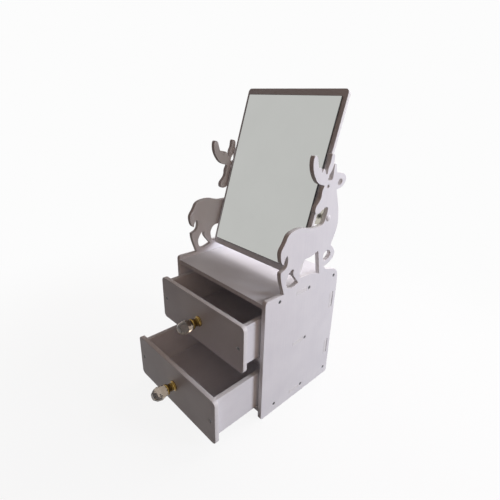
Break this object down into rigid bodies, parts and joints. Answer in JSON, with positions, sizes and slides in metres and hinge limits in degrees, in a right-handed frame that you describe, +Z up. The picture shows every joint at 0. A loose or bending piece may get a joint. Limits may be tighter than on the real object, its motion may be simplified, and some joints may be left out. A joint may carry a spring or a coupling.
{
  "type": "vanity box with mirror",
  "caption": "Small vanity box of white boards with drawers on crystal knobs and a tilting mirror held between reindeer-shaped side panels.",
  "frame": {"origin": "on the surface that the box stands on, under the middle of the whole outline as drawn with the drawers pulled out", "axes": "+X to the right, +Y to the back of the box, +Z up; the knobs point to -Y"},
  "size_m": [0.188, 0.2524, 0.4125],
  "materials": {
    "foam_board": "satin, fine-grained white foam board with sawn edges",
    "mirror_glass": "polished",
    "foam_tape": "soft matt foam",
    "crystal": "cut and polished",
    "brass": "polished, lacquered",
    "zinc_steel": "zinc plated, dulled",
    "nickel_steel": "bright nickel plated",
    "white_steel": "white, satin"
  },
  "bodies": {
    "box": {"side_panel_left": "foam_board", "side_panel_right": "foam_board", "top_plate": "foam_board", "middle_shelf": "foam_board", "bottom_plate": "foam_board", "back_panel": "foam_board", "carcass_screws": "zinc_steel", "pivot_bolts": "white_steel", "pivot_washers": "nickel_steel", "pivot_nuts": "nickel_steel"},
    "upper_drawer": {"upper_drawer_front": "foam_board", "upper_drawer_left_side": "foam_board", "upper_drawer_right_side": "foam_board", "upper_drawer_back": "foam_board", "upper_drawer_bottom": "foam_board", "upper_drawer_screws": "zinc_steel", "upper_knob_base": "brass", "upper_knob_crystal": "crystal", "upper_knob_screw": "zinc_steel"},
    "lower_drawer": {"lower_drawer_front": "foam_board", "lower_drawer_left_side": "foam_board", "lower_drawer_right_side": "foam_board", "lower_drawer_back": "foam_board", "lower_drawer_bottom": "foam_board", "lower_drawer_screws": "zinc_steel", "lower_knob_base": "brass", "lower_knob_crystal": "crystal", "lower_knob_screw": "zinc_steel"},
    "mirror": {"mirror_board": "foam_board", "mirror_glass": "mirror_glass", "mirror_pads": "foam_tape", "mirror_bracket_left": "nickel_steel", "mirror_bracket_right": "nickel_steel", "bracket_screws": "nickel_steel"}
  },
  "joints": [
    {"name": "upper_drawer_slide", "type": "slide", "parent": "box", "child": "upper_drawer", "axis": [0, -1, 0], "range_m": [-0.0237, 0.066]},
    {"name": "lower_drawer_slide", "type": "slide", "parent": "box", "child": "lower_drawer", "axis": [0, -1, 0], "range_m": [-0.0677, 0.022]},
    {"name": "mirror_tilt", "type": "hinge", "parent": "box", "child": "mirror", "pos_m": [0, 0.08725, 0.262], "axis": [1, 0, 0], "range_deg": [-15, 20]}
  ]
}
